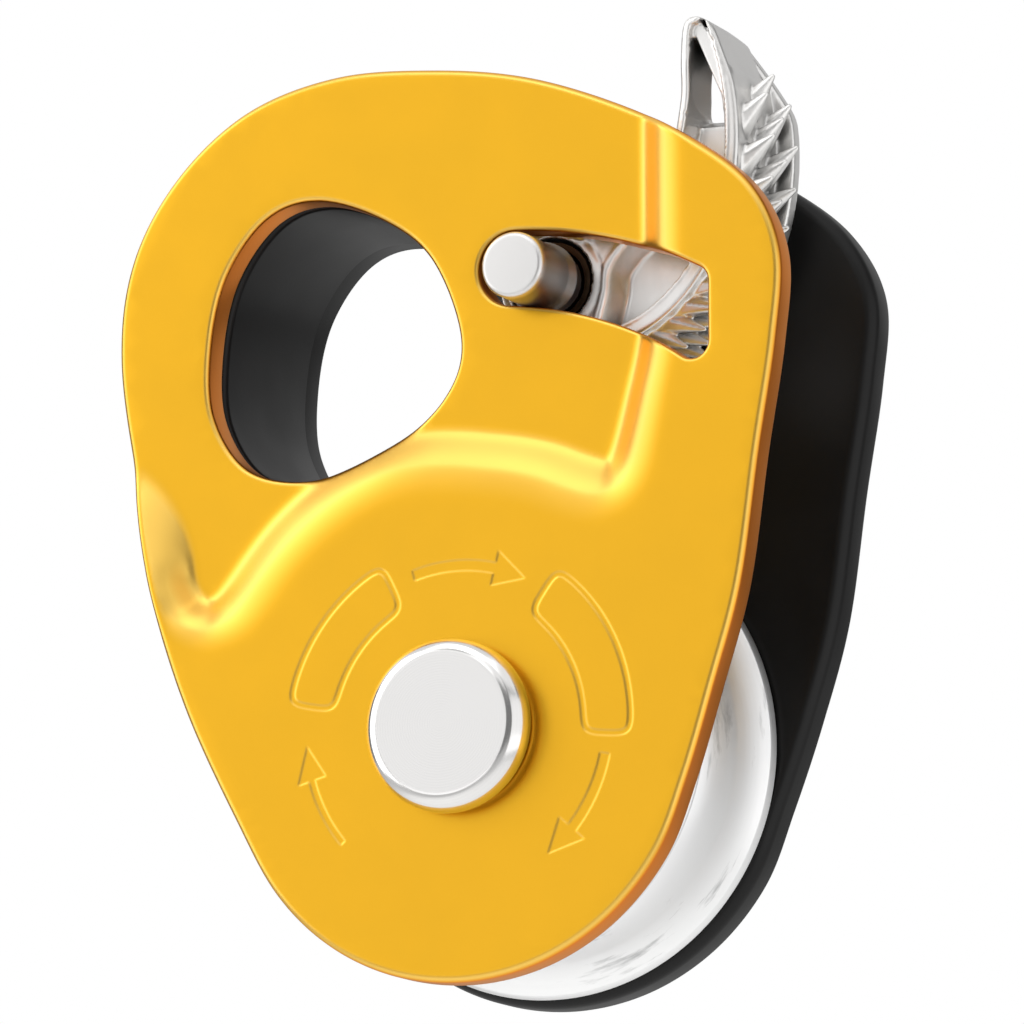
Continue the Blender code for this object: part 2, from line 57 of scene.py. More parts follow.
JOINTS = {joint["name"]: joint for joint in frame["joints"]}
SHEAVE_AXIS = np.array(JOINTS["sheave_spin"]["pos_m"])
CAM_AXIS = np.array(JOINTS["cam_pivot"]["pos_m"])
CAM_X, _, CAM_Z = (CAM_AXIS - SHEAVE_AXIS) / MM


def node_depths(name):
    """A CAD node's front and rear, as y in millimetres."""
    low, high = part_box(name)
    return low.y / MM, high.y / MM


PLATE_FRONT = node_depths("moving_side_plate")[0]
PLATE_T, FIXED_T = 3.0, 4.0
STEP = node_depths("moving_side_plate")[1] - PLATE_FRONT - PLATE_T
FIXED_REAR = node_depths("fixed_side_plate")[1]
FIXED_FRONT = FIXED_REAR - FIXED_T
COLLAR_FRONT = node_depths("fixed_side_plate")[0]


def place(points):
    """Points in millimetres about the sheave's axis, as metres in the frame."""
    return np.asarray(points, float) * MM + SHEAVE_AXIS


# Plane geometry, on arrays of (x, z)
def smooth_loop(points, spacing):
    """A closed Catmull-Rom curve through the points, with even spacing."""
    points = np.array(points, float)
    t = np.linspace(0, 1, 24, endpoint=False)[:, None]
    before, after, last = (np.roll(points, k, axis=0) for k in (1, -1, -2))
    curve = np.concatenate([
        0.5 * (2 * b + (c - a) * t + (2 * a - 5 * b + 4 * c - d) * t**2
               + (3 * b - a - 3 * c + d) * t**3)
        for a, b, c, d in zip(before, points, after, last)
    ])
    return evenly(curve, spacing)


def smooth_open(points, spacing):
    """An open Catmull-Rom curve through the points, with even spacing in x and z."""
    points = np.array(points, float)
    ends = np.vstack([2 * points[0] - points[1], points, 2 * points[-1] - points[-2]])
    t = np.linspace(0, 1, 24, endpoint=False)[:, None]
    curve = np.vstack([
        0.5 * (2 * b + (c - a) * t + (2 * a - 5 * b + 4 * c - d) * t**2
               + (3 * b - a - 3 * c + d) * t**3)
        for a, b, c, d in zip(ends, ends[1:], ends[2:], ends[3:])
    ] + [points[-1:]])
    gaps = np.linalg.norm(np.diff(curve[:, :2], axis=0), axis=1)
    along = np.concatenate([[0], np.cumsum(gaps)])
    at = np.linspace(0, along[-1], max(3, int(along[-1] / spacing)))
    return np.column_stack([np.interp(at, along, column) for column in curve.T])


def evenly(curve, spacing):
    """The closed curve again, with points at even spacing."""
    closed = np.vstack([curve, curve[:1]])
    along = np.concatenate([[0], np.cumsum(np.linalg.norm(np.diff(closed, axis=0), axis=1))])
    count = max(8, int(round(along[-1] / spacing)))
    at = np.linspace(0, along[-1], count, endpoint=False)
    return np.column_stack([np.interp(at, along, closed[:, k]) for k in (0, 1)])


def softened(loop, passes):
    """The closed curve with its corners rounded by averaging neighbours."""
    for _ in range(passes):
        loop = (np.roll(loop, 1, axis=0) + 2 * loop + np.roll(loop, -1, axis=0)) / 4
    return loop


def on_circle(radius, angle):
    a = np.radians(angle)
    return np.stack([radius * np.cos(a), radius * np.sin(a)], axis=-1)


def circle(radius, sides):
    return on_circle(np.full(sides, radius), np.linspace(0, 360, sides, endpoint=False))


def smooth_step(value, low, high):
    t = np.clip((value - low) / (high - low), 0, 1)
    return t * t * (3 - 2 * t)


def level(y):
    """A flat front or rear for rounded_plate()."""
    return lambda points: np.full(len(points), y)


def area(loop):
    x, z = loop.T
    return 0.5 * np.sum(x * np.roll(z, -1) - z * np.roll(x, -1))


def turned_way(loop, anticlockwise):
    return loop if (area(loop) > 0) == anticlockwise else loop[::-1]


def moved_left(loop, distance):
    """The loop moved to the left of its direction."""
    along = np.roll(loop, -1, axis=0) - np.roll(loop, 1, axis=0)
    along /= np.linalg.norm(along, axis=1)[:, None]
    return loop + distance * np.column_stack([-along[:, 1], along[:, 0]])


def distance_to(path, points, closed=True):
    """Each point's distance to the path."""
    ends = np.roll(path, -1, axis=0) if closed else path[1:]
    starts = path if closed else path[:-1]
    nearest = np.full(len(points), 1e9)
    for a, b in zip(starts, ends):
        along = b - a
        t = np.clip(((points - a) @ along) / max(along @ along, 1e-12), 0, 1)
        gap = points - a - t[:, None] * along
        nearest = np.minimum(nearest, gap[:, 0] ** 2 + gap[:, 1] ** 2)
    return np.sqrt(nearest)


def inside(loop, points):
    """Whether each point is inside the loop."""
    x, z = points.T
    result = np.zeros(len(points), bool)
    for (ax, az), (bx, bz) in zip(loop, np.roll(loop, -1, axis=0)):
        if az == bz:
            continue
        crosses = (az > z) != (bz > z)
        result ^= crosses & (x < (bx - ax) * (z - az) / (bz - az) + ax)
    return result


def honeycomb(low, high, spacing):
    """Points of a triangular grid over a rectangle."""
    xs = np.arange(low[0], high[0], spacing)
    zs = np.arange(low[1], high[1], spacing * math.sqrt(3) / 2)
    grid_x, grid_z = np.meshgrid(xs, zs)
    grid_x[1::2] += spacing / 2
    return np.column_stack([grid_x.ravel(), grid_z.ravel()])


# Meshes
def new_object(name, data):
    thing = bpy.data.objects.new(name, data)
    bpy.context.scene.collection.objects.link(thing)
    return thing


def make_piece(name, points, faces, material, body, nodes=(), sharp=None):
    """A mesh piece of the given points, in millimetres about the sheave's axis."""
    mesh = bpy.data.meshes.new(name)
    mesh.from_pydata(place(points).tolist(), [], [list(map(int, face)) for face in faces])
    mesh.validate()
    mesh.shade_smooth()
    if sharp:
        mesh.set_sharp_from_angle(angle=math.radians(sharp))
    piece = new_object(name, mesh)
    finish_piece(piece, material, body, nodes)
    return piece


def finish_piece(piece, material, body, nodes=()):
    piece.data.materials.clear()
    piece.data.materials.append(material)
    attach(piece, body)
    if nodes:
        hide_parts(*nodes)


def filled(loops, points):
    """Triangles that fill the space between the loops, through the points given."""
    corners = np.vstack(loops + [points])
    edges = []
    start = 0
    for loop in loops:
        count = len(loop)
        edges += [(start + i, start + (i + 1) % count) for i in range(count)]
        start += count
    result = delaunay_2d_cdt([Vector(p) for p in corners.tolist()], edges, [], 0, 1e-6)
    origin = [
        first[0] if first else int(np.argmin(np.sum((corners - at) ** 2, axis=1)))
        for first, at in zip(result[3], result[0])
    ]
    triangles = np.array([[origin[i] for i in face] for face in result[2]])
    middles = corners[triangles].mean(axis=1)
    keep = inside(loops[0], middles)
    for loop in loops[1:]:
        keep &= ~inside(loop, middles)
    triangles = triangles[keep]
    a, b, c = (corners[triangles[:, k]] for k in range(3))
    turn = (b[:, 0] - a[:, 0]) * (c[:, 1] - a[:, 1]) - (b[:, 1] - a[:, 1]) * (c[:, 0] - a[:, 0])
    triangles[turn < 0] = triangles[turn < 0][:, ::-1]
    return corners, triangles


def rounded_plate(loops, front, rear, front_points, rear_points, radius, rows=5):
    """Points and faces of a plate whose edges are rounded by radius(loop number, is_front).

    loops[0] is the outline and the others are holes. front and rear give y at (x, z).
    """
    loops = [turned_way(loop, k == 0) for k, loop in enumerate(loops)]
    points, faces = [], []
    total = 0
    angles = np.linspace(0, math.pi / 2, rows + 1)
    borders = {}
    for is_front, surface, side in ((True, front, 1), (False, rear, -1)):
        for k, loop in enumerate(loops):
            r = radius(k, is_front)
            rings = []
            for a in angles:
                ring = moved_left(loop, r * (1 - math.cos(a)))
                y = surface(ring) + side * r * (1 - math.sin(a))
                points.append(np.column_stack([ring[:, 0], y, ring[:, 1]]))
                rings.append(np.arange(total, total + len(ring)))
                total += len(ring)
            borders[k, is_front] = rings
    for k in range(len(loops)):
        chain = borders[k, False][::-1] + borders[k, True]
        for low, high in zip(chain, chain[1:]):
            low_next, high_next = np.roll(low, -1), np.roll(high, -1)
            faces += np.column_stack([low, low_next, high_next, high]).tolist()
    for is_front, surface, inner in ((True, front, front_points), (False, rear, rear_points)):
        edge_rings = [
            moved_left(loop, radius(k, is_front)) for k, loop in enumerate(loops)
        ]
        clear = inside(edge_rings[0], inner)
        for ring in edge_rings[1:]:
            clear &= ~inside(ring, inner)
        inner = inner[clear]
        gap = np.min([distance_to(ring, inner) for ring in edge_rings], axis=0)
        inner = inner[gap > 0.12]
        corners, triangles = filled(edge_rings, inner)
        edge_count = sum(len(ring) for ring in edge_rings)
        numbers = np.concatenate(
            [borders[k, is_front][-1] for k in range(len(loops))]
            + [np.arange(total, total + len(corners) - edge_count)]
        )
        added = corners[edge_count:]
        points.append(np.column_stack([added[:, 0], surface(added), added[:, 1]]))
        total += len(added)
        if not is_front:
            triangles = triangles[:, ::-1]
        faces += numbers[triangles].tolist()
    return np.vstack(points), faces


def turned(profile, x=0.0, z=0.0, sides=128):
    """A closed profile of (radius, y) spun about Y, through (x, z). It runs front to rear outside."""
    profile = np.array(profile, float)
    angles = np.arange(sides) * 2 * math.pi / sides
    points = []
    numbers = []
    for radius, y in profile:
        if radius < 1e-6:
            numbers.append(np.full(sides, len(points)))
            points.append((x, y, z))
        else:
            numbers.append(len(points) + np.arange(sides))
            points += [(x + radius * math.cos(a), y, z + radius * math.sin(a)) for a in angles]
    faces = []
    for low, high in zip(numbers, numbers[1:] + numbers[:1]):
        for i in range(sides):
            j = (i + 1) % sides
            face = [low[i], high[i], high[j], low[j]]
            face = list(dict.fromkeys(face))
            if len(face) > 2:
                faces.append(face)
    return points, faces


def fillet(radius_at, y_at, size, start, end, steps=6):
    """Points of a rounded corner of a profile, about the centre (radius_at, y_at)."""
    return [
        (radius_at + size * math.cos(math.radians(a)), y_at + size * math.sin(math.radians(a)))
        for a in np.linspace(start, end, steps + 1)
    ]


# Materials
class Surface:
    """A Principled material that is built up node by node."""

    def __init__(self, name, colour, roughness, metallic=1.0, **values):
        self.material = bpy.data.materials.new(name)
        self.material.use_nodes = True
        self.tree = self.material.node_tree
        self.shader = self.tree.nodes["Principled BSDF"]
        self.shader.inputs["Base Color"].default_value = (*colour, 1.0)
        self.shader.inputs["Roughness"].default_value = roughness
        self.shader.inputs["Metallic"].default_value = metallic
        for socket, value in values.items():
            self.shader.inputs[socket.replace("_", " ")].default_value = value
        self.colour = colour
        self.roughness = roughness

    def node(self, kind, **settings):
        node = self.tree.nodes.new(kind)
        for name, value in settings.items():
            setattr(node, name, value)
        return node

    def link(self, source, target):
        self.tree.links.new(source, target)

    def coordinates(self, scale, centre=(0, 0, 0)):
        """Object coordinates about a centre, in metres, times the scale."""
        place_node = self.node("ShaderNodeTexCoord")
        mapping = self.node("ShaderNodeMapping", vector_type="TEXTURE")
        mapping.inputs["Location"].default_value = centre
        mapping.inputs["Scale"].default_value = tuple(1 / s for s in scale)
        self.link(place_node.outputs["Object"], mapping.inputs["Vector"])
        return mapping.outputs["Vector"]

    def noise(self, scale, detail=4.0, roughness=0.6, centre=(0, 0, 0)):
        noise = self.node("ShaderNodeTexNoise")
        noise.inputs["Scale"].default_value = 1.0
        noise.inputs["Detail"].default_value = detail
        noise.inputs["Roughness"].default_value = roughness
        self.link(self.coordinates(scale, centre), noise.inputs["Vector"])
        return noise.outputs["Fac"]

    def spread(self, value, low, high, start=0.3, end=0.7):
        """The value from start to end mapped to low to high."""
        spread = self.node("ShaderNodeMapRange")
        for socket, number in (
            ("From Min", start), ("From Max", end), ("To Min", low), ("To Max", high)
        ):
            spread.inputs[socket].default_value = number
        self.link(value, spread.inputs["Value"])
        return spread.outputs["Result"]

    def shade(self, value, darker, lighter, start=0.3, end=0.7):
        """Colour that runs from the base colour times darker to the base colour times lighter."""
        mix = self.node("ShaderNodeMix", data_type="RGBA")
        mix.inputs[6].default_value = (*(min(c * darker, 1.0) for c in self.colour), 1.0)
        mix.inputs[7].default_value = (*(min(c * lighter, 1.0) for c in self.colour), 1.0)
        self.link(self.spread(value, 0.0, 1.0, start, end), mix.inputs[0])
        self.link(mix.outputs[2], self.shader.inputs["Base Color"])

    def vary_roughness(self, value, change, start=0.3, end=0.7):
        low, high = self.roughness - change, self.roughness + change
        self.link(self.spread(value, low, high, start, end), self.shader.inputs["Roughness"])

    def bumps(self, *layers):
        """Bump from pairs of a height value and its depth in metres."""
        normal = None
        for value, depth in layers:
            bump = self.node("ShaderNodeBump")
            bump.inputs["Strength"].default_value = 1.0
            bump.inputs["Distance"].default_value = depth
            self.link(value, bump.inputs["Height"])
            if normal:
                self.link(normal, bump.inputs["Normal"])
            normal = bump.outputs["Normal"]
        self.link(normal, self.shader.inputs["Normal"])

    def rings(self, pitch, centre):
        """A wave of even rings about the Y axis through the centre."""
        wave = self.node("ShaderNodeTexWave", wave_type="RINGS", rings_direction="Y")
        wave.inputs["Scale"].default_value = 1.0
        wave.inputs["Distortion"].default_value = 0.0
        per_metre = 2 * math.pi / 20 / pitch
        self.link(self.coordinates((per_metre,) * 3, centre), wave.inputs["Vector"])
        return wave.outputs["Fac"]


def gold_anodised():
    """Satin, with painted light set by the way the surface faces: a painted highlight, paler, where
    the sheet starts to bend, and painted shade, deeper orange, where it turns away.
    """
    surface = Surface(
        "gold_anodised", (0.86, 0.452, 0.009), 0.33,
        Coat_Weight=0.40, Coat_Roughness=0.28, Specular_Tint=(1.0, 0.85, 0.5, 1.0),
    )
    clouds = surface.noise((120.0,) * 3, detail=3.0)
    grain = surface.noise((3000.0,) * 3, detail=3.0)
    surface.shade(clouds, 0.985, 1.015)
    flat = surface.shader.inputs["Base Color"].links[0].from_socket
    facing = surface.node("ShaderNodeSeparateXYZ")
    surface.link(surface.node("ShaderNodeTexCoord").outputs["Normal"], facing.inputs["Vector"])
    front_facing_for_painted_light = surface.node("ShaderNodeMath", operation="ABSOLUTE")
    surface.link(facing.outputs["Y"], front_facing_for_painted_light.inputs[0])
    # Painted highlight and painted shade: pale gold on slight bends, deep orange on walls turned away
    # from the front.
    bend_highlight_and_shade = surface.node("ShaderNodeValToRGB")
    stops = bend_highlight_and_shade.color_ramp.elements
    stops[0].position, stops[0].color = 0.30, (0.80, 0.215, 0.012, 1.0)
    stops[1].position, stops[1].color = 0.80, (0.93, 0.58, 0.10, 1.0)
    stops.new(0.55).color = (0.89, 0.40, 0.025, 1.0)
    surface.link(front_facing_for_painted_light.outputs["Value"], bend_highlight_and_shade.inputs["Fac"])
    turn = surface.node("ShaderNodeMix", data_type="RGBA")
    surface.link(surface.spread(front_facing_for_painted_light.outputs["Value"], 1.0, 0.0, 0.93, 0.998), turn.inputs[0])
    surface.link(flat, turn.inputs[6])
    surface.link(bend_highlight_and_shade.outputs["Color"], turn.inputs[7])
    surface.link(turn.outputs[2], surface.shader.inputs["Base Color"])
    surface.vary_roughness(clouds, 0.02)
    surface.bumps((grain, 0.0000016))
    return surface.material


def black_anodised():
    surface = Surface(
        "black_anodised", (0.0050, 0.0048, 0.0048), 0.38, 0.0, Specular_IOR_Level=0.26
    )
    grain = surface.noise((2600.0,) * 3, detail=3.0)
    clouds = surface.noise((90.0,) * 3, detail=2.0)
    surface.shade(clouds, 0.85, 1.25)
    surface.vary_roughness(clouds, 0.05)
    surface.bumps((grain, 0.0000030))
    return surface.material


def turned_steel(name, centre, colour=(0.82, 0.81, 0.80), roughness=0.17):
    surface = Surface(name, colour, roughness, Anisotropic=0.6)
    tangent = surface.node("ShaderNodeTangent", direction_type="RADIAL", axis="Y")
    surface.link(tangent.outputs["Tangent"], surface.shader.inputs["Tangent"])
    rings = surface.rings(0.00022, centre)
    wear = surface.noise((90.0,) * 3, detail=2.0, centre=centre)
    surface.shade(rings, 0.985, 1.01, 0.0, 1.0)
    surface.vary_roughness(wear, 0.02)
    surface.bumps((rings, 0.0000008))
    return surface.material


def button_steel():
    """Painted light: brighter on the button's face, with painted shade darkening its side down in the
    slot.
    """
    centre = tuple(CAM_AXIS)
    surface = Surface("turned_steel_button", (0.66, 0.65, 0.64), 0.36)
    depth_for_painted_shade = surface.node("ShaderNodeSeparateXYZ")
    surface.link(surface.coordinates((1000.0,) * 3, centre), depth_for_painted_shade.inputs["Vector"])
    # Painted shade: the colour darkens from the face back along the side set into the slot.
    surface.shade(depth_for_painted_shade.outputs["Y"], 1.15, 0.62, -11.9, -11.3)
    rings = surface.rings(0.00025, centre)
    lines = surface.noise((60.0, 4200.0, 60.0), detail=3.0, centre=centre)
    surface.bumps((rings, 0.0000010), (lines, 0.0000050))
    return surface.material


def polished_alloy():
    centre = tuple(SHEAVE_AXIS)
    surface = Surface("polished_alloy", (0.96, 0.96, 0.96), 0.42)
    rings = surface.rings(0.00030, centre)
    streaks = surface.noise((45.0, 2600.0, 45.0), detail=5.0, roughness=0.7, centre=centre)
    worn = surface.noise((95.0, 1500.0, 95.0), detail=5.0, roughness=0.65, centre=centre)
    surface.shade(worn, 0.45, 1.0, 0.24, 0.40)
    surface.vary_roughness(streaks, 0.06)
    surface.bumps((rings, 0.0000008), (streaks, 0.0000030))
    return surface.material


def cast_steel():
    """Bright and slightly pitted, with painted shade darkening the creases."""
    surface = Surface("cast_steel", (0.78, 0.77, 0.755), 0.36)
    pits = surface.noise((1500.0,) * 3, detail=5.0, roughness=0.65)
    clouds = surface.noise((260.0,) * 3, detail=3.0)
    painted_crease_shade = surface.node("ShaderNodeAmbientOcclusion", samples=8, only_local=True)
    painted_crease_shade.inputs["Distance"].default_value = 0.0018
    # Painted shade: ambient occlusion darkens the colour in creases and between the teeth.
    surface.shade(painted_crease_shade.outputs["AO"], 0.16, 1.10, 0.20, 0.80)
    surface.vary_roughness(clouds, 0.06)
    surface.bumps((clouds, 0.000016), (pits, 0.0000060))
    return surface.material


def speckled(name, colour, roughness, metallic=1.0):
    surface = Surface(name, colour, roughness, metallic)
    speckle = surface.noise((1800.0,) * 3)
    surface.shade(speckle, 0.85, 1.1)
    surface.vary_roughness(speckle, 0.05)
    surface.bumps((speckle, 0.000002))
    return surface.material


GOLD = gold_anodised()
BLACK = black_anodised()
HEAD_STEEL = turned_steel("turned_steel_head", tuple(SHEAVE_AXIS))
BUTTON_STEEL = button_steel()
PIN_STEEL = turned_steel("turned_steel_pin", tuple(CAM_AXIS), (0.6, 0.59, 0.58), 0.32)
ALLOY = polished_alloy()
CAST = cast_steel()
BRONZE = speckled("bronze", (0.10, 0.065, 0.04), 0.45)
SPRING = speckled("spring_steel", (0.35, 0.35, 0.36), 0.3)
RUBBER = speckled("seal_rubber", (0.03, 0.03, 0.03), 0.75, 0.0)
POLYAMIDE = speckled("cage_plastic", (0.12, 0.09, 0.05), 0.55, 0.0)


# Outlines that both the CAD solids and these pieces follow
PLATE_ARC_R = 20.6
PLATE_ARC = (-14.0, -142.0)
PLATE_SIDE = (
    (-20.0, -6.3), (-24.5, 2.7), (-27.8, 12.0), (-30.4, 22.4), (-32.1, 33.3), (-31.0, 41.6),
    (-26.9, 48.4), (-20.5, 53.4), (-12.4, 55.6), (-3.6, 55.4), (4.9, 54.0), (13.3, 50.9),
    (20.5, 47.0), (25.8, 42.6), (28.2, 37.0), (27.8, 30.0), (26.3, 20.9), (24.7, 10.4),
    (22.3, 2.2),
)
FIXED_EXTRA = 0.4
HOLE = (
    (-0.9, 32.4), (-2.5, 27.6), (-7.5, 23.8), (-14.0, 21.8), (-20.0, 23.0), (-23.3, 27.6),
    (-23.7, 33.4), (-22.3, 39.5), (-18.6, 44.1), (-13.8, 45.2), (-7.8, 43.0), (-3.4, 39.2),
)
SLOT_MID_R, SLOT_HALF = 38.25, 3.1
SLOT_START = 84.2
SLOT_RIGHT_X, SLOT_CORNER, SLOT_FLARE = 22.0, 1.4, 0.7
EDGE_SPACING = 0.34
SHEET = (-34, -22), (31, 58)  # opposite corners of a rectangle that holds either plate


def plate_outline(extra=0.0):
    side = [(x + (extra if x > 14 and z < 42 else 0), z) for x, z in PLATE_SIDE]
    lower = on_circle(PLATE_ARC_R + extra / 4, np.linspace(*PLATE_ARC, 8)).tolist()
    return smooth_loop(lower + side, EDGE_SPACING)


def slot_outline():
    outer, inner = SLOT_MID_R + SLOT_HALF, SLOT_MID_R - SLOT_HALF
    right_outer = outer + SLOT_FLARE
    corner_x = SLOT_RIGHT_X - SLOT_CORNER
    top_end = math.degrees(math.acos(corner_x / (right_outer - SLOT_CORNER)))
    low_end = math.degrees(math.acos(corner_x / (inner + SLOT_CORNER)))
    share = np.linspace(0, 1, 30)
    curve = np.vstack([
        on_circle(SLOT_MID_R, SLOT_START) + on_circle(SLOT_HALF, SLOT_START - 180 - 180 * share),
        on_circle(outer + SLOT_FLARE * share, SLOT_START + (top_end - SLOT_START) * share)[1:],
        on_circle(right_outer - SLOT_CORNER, top_end)
        + on_circle(SLOT_CORNER, top_end * (1 - share))[1:],
        on_circle(inner + SLOT_CORNER, low_end) + on_circle(SLOT_CORNER, (low_end - 180) * share),
        on_circle(inner, low_end + (SLOT_START - low_end) * share)[1:-1],
    ])
    return evenly(curve, 0.28)


# Moving side plate
def step_line():
    """The middle of the step, from the left edge round the arch and up: x, z and how far the
    bend is drawn out there. The pressed-in level lies to the left of it."""
    angles = np.linspace(142, 64, 12)
    arch = on_circle(22.6 + 1.2 * smooth_step(angles, 80, 110), angles)
    return smooth_open([*STEP_LEFT, *((x, z, 1.0) for x, z in arch), *STEP_RIGHT], 0.4)


STEP_LEFT = (
    (-33.0, 22.4, 1.50), (-30.4, 20.6, 1.45), (-28.4, 18.4, 1.25), (-26.9, 16.0, 0.90),
    (-26.0, 13.6, 0.60), (-24.8, 11.6, 0.65), (-23.1, 10.9, 0.80), (-21.5, 11.5, 0.95),
    (-20.3, 12.7, 1.0),
)
STEP_RIGHT = (
    (12.0, 19.7, 0.95), (13.3, 20.1, 0.9), (14.1, 21.3, 0.85), (14.7, 23.3, 0.80),
    (15.5, 26.6, 0.75), (16.3, 30.0, 0.72), (16.8, 33.6, 0.72), (16.9, 37.0, 0.72),
    (16.9, 46.0, 0.72), (16.9, 60.0, 0.72),
)
STEP_LINE = step_line()
PRESSED_IN = np.vstack([STEP_LINE[:, :2], [(-40.0, 60.0)], [(-40.0, 22.6)]])


def step_inside(points):
    """Distance into the pressed-in level from the middle of the step, and how drawn out it is."""
    nearest = np.full(len(points), 8.0**2)
    drawn_out = np.ones(len(points))
    rough = np.min([np.hypot(*(points - at[:2]).T) for at in STEP_LINE[::8]], axis=0)
    close = np.flatnonzero(rough < 8.0)
    for start, end in zip(STEP_LINE, STEP_LINE[1:]):
        along = end - start
        t = np.clip(((points[close] - start[:2]) @ along[:2]) / (along[:2] @ along[:2]), 0, 1)
        gap = points[close] - start[:2] - t[:, None] * along[:2]
        squared = gap[:, 0] ** 2 + gap[:, 1] ** 2
        closer = squared < nearest[close]
        nearest[close[closer]] = squared[closer]
        drawn_out[close[closer]] = (start[2] + t * along[2])[closer]
    return np.sqrt(nearest) * np.where(inside(PRESSED_IN, points), 1, -1), drawn_out


def step_weight(points):
    """0 on the outer level, over the sheave and on the rope's side, to 1 on the pressed-in one."""
    return smooth_step(step_inside(points)[0], -1.8, 1.8)


STEP_TURN = np.linspace(-4.6, 2.5, 200)


def front_profile():
    """Height of the step's front from 0 to 1: it falls away slowly, then turns in tightly."""
    slope = np.interp(STEP_TURN, (-4.6, -3.7, -1.5, -0.4, 0.9, 1.6, 2.0, 2.5),
                      (0, 0.14, 0.44, 0.86, 1.0, 0.75, 0.25, 0))
    height = np.concatenate([[0], np.cumsum((slope[1:] + slope[:-1]) / 2)])
    return height / height[-1]


FRONT_PROFILE = front_profile()
SOFTENING = np.vstack([[(0.0, 0.0)], on_circle(np.full(6, 0.4), np.arange(6) * 60.0)])


def front_weight(points):
    """As step_weight, for the front: drawn out more, and averaged so that no crease is left."""
    total = np.zeros(len(points))
    for shift in SOFTENING:
        distance, drawn_out = step_inside(points + shift)
        total += np.interp(distance / drawn_out, STEP_TURN, FRONT_PROFILE)
    return total / len(SOFTENING)


def arrow(angle_from, angle_to, radius, width, head_length, head_half):
    """Outline of a curved arrow about the sheave's axis, from one angle to the other."""
    way = 1 if angle_to > angle_from else -1
    neck = angle_to - way * math.degrees(head_length / radius)
    stem = np.linspace(angle_from, neck, 16)
    outer = on_circle(np.full(16, radius + width / 2), stem)
    inner = on_circle(np.full(16, radius - width / 2), stem)[::-1]
    head = [
        on_circle(radius + head_half, neck),
        on_circle(radius, angle_to),
        on_circle(radius - head_half, neck),
    ]
    return np.vstack([outer, head, inner])


ARROWS = (
    arrow(107.0, 63.0, 13.3, 0.9, 2.9, 1.45),
    arrow(-12.0, -53.0, 13.3, 0.9, 2.9, 1.45),
    arrow(221.0, 183.0, 13.4, 0.55, 2.9, 1.3),
)
PANELS = ((116.0, 169.0), (-5.0, 54.5))
PANEL_INNER, PANEL_OUTER, PANEL_CORNER = 11.15, 15.25, 1.1
ENGRAVED = 0.075
GROOVE_HALF, GROOVE_WALL = 0.22, 0.2


def panel_loop(start, end):
    """A sector of a ring, with rounded corners."""
    outer = on_circle(np.full(60, PANEL_OUTER), np.linspace(start, end, 60))
    inner = on_circle(np.full(60, PANEL_INNER), np.linspace(end, start, 60))
    spacing = 0.16
    loop = evenly(np.vstack([outer, inner]), spacing)
    return softened(loop, int((PANEL_CORNER / spacing) ** 2))


PANEL_LOOPS = [panel_loop(*ends) for ends in PANELS]


def engraving(points):
    """Depth of the recessed marks at each point."""
    depth = np.zeros(len(points))
    near = np.hypot(points[:, 0], points[:, 1]) < 18.5
    local = points[near]
    found = np.zeros(len(local))
    for outline in ARROWS:
        gap = distance_to(outline, local) * np.where(inside(outline, local), 1, -1)
        found = np.maximum(found, np.clip(0.5 + gap / GROOVE_WALL, 0, 1))
    for loop in PANEL_LOOPS:
        gap = GROOVE_HALF - distance_to(loop, local)
        found = np.maximum(found, np.clip(0.5 + gap / GROOVE_WALL, 0, 1))
    depth[near] = found * found * (3 - 2 * found) * ENGRAVED
    return depth


def moving_front(points):
    return PLATE_FRONT + STEP * front_weight(points) + engraving(points)


def moving_rear(points):
    return PLATE_FRONT + PLATE_T + STEP * step_weight(points)


def grid_by_need():
    """Grid points for the front: close on the marks, closer on the steps, wide on the flats."""
    coarse = honeycomb(*SHEET, 1.6)
    coarse = coarse[flat_round(coarse, 1.4)]
    medium = honeycomb(*SHEET, 0.42)
    medium = medium[~flat_round(medium, 1.0)]
    fine = honeycomb((-18, -15), (18, 16), 0.13)
    ring = (np.hypot(*fine.T) > 9.5) & (np.hypot(*fine.T) < 17.5)
    fine = fine[ring]
    fine = fine[to_marks(fine) < 0.28]
    return np.vstack([coarse[to_marks(coarse) > 0.5], medium, fine])


def to_marks(points):
    """Each point's distance to the nearest edge of the engraving."""
    return np.min(
        [distance_to(outline, points) for outline in ARROWS]
        + [np.abs(distance_to(loop, points) - GROOVE_HALF) for loop in PANEL_LOOPS],
        axis=0,
    )


def flat_round(points, reach):
    """Whether the front is flat at and round each point."""
    distance, drawn_out = step_inside(points)
    low, high = STEP_TURN[0] * drawn_out - reach, STEP_TURN[-1] * drawn_out + reach
    return (distance < low) | (distance > high)


def make_moving_plate():
    hole = smooth_loop(HOLE, EDGE_SPACING)
    loops = [plate_outline(), hole, slot_outline(), circle(5.3, 96)]
    front_radius = (0.62, 0.5, 0.42, 0.2)
    rear_radius = (0.7, 0.5, 0.4, 0.2)
    rear_grid = honeycomb(*SHEET, 0.9)
    points, faces = rounded_plate(
        loops, moving_front, moving_rear, grid_by_need(), rear_grid,
        lambda k, is_front: (front_radius if is_front else rear_radius)[k],
    )
    make_piece("moving_side_plate_detail", points, faces, GOLD, "moving_plate",
               ["moving_side_plate"])


# Fixed side plate and its collar
def make_fixed_plate():
    loops = [plate_outline(FIXED_EXTRA), smooth_loop(HOLE, EDGE_SPACING)]
    loops += [circle(6.6, 96), circle(4.5, 64) + (CAM_X, CAM_Z)]
    radii = (1.1, 0.6, 0.25, 0.25)
    grid = honeycomb(*SHEET, 3.0)
    points, faces = rounded_plate(
        loops, level(FIXED_FRONT), level(FIXED_REAR), grid, grid, lambda k, is_front: radii[k],
    )
    make_piece("fixed_side_plate_detail", points, faces, BLACK, "frame",
               ["fixed_side_plate"])


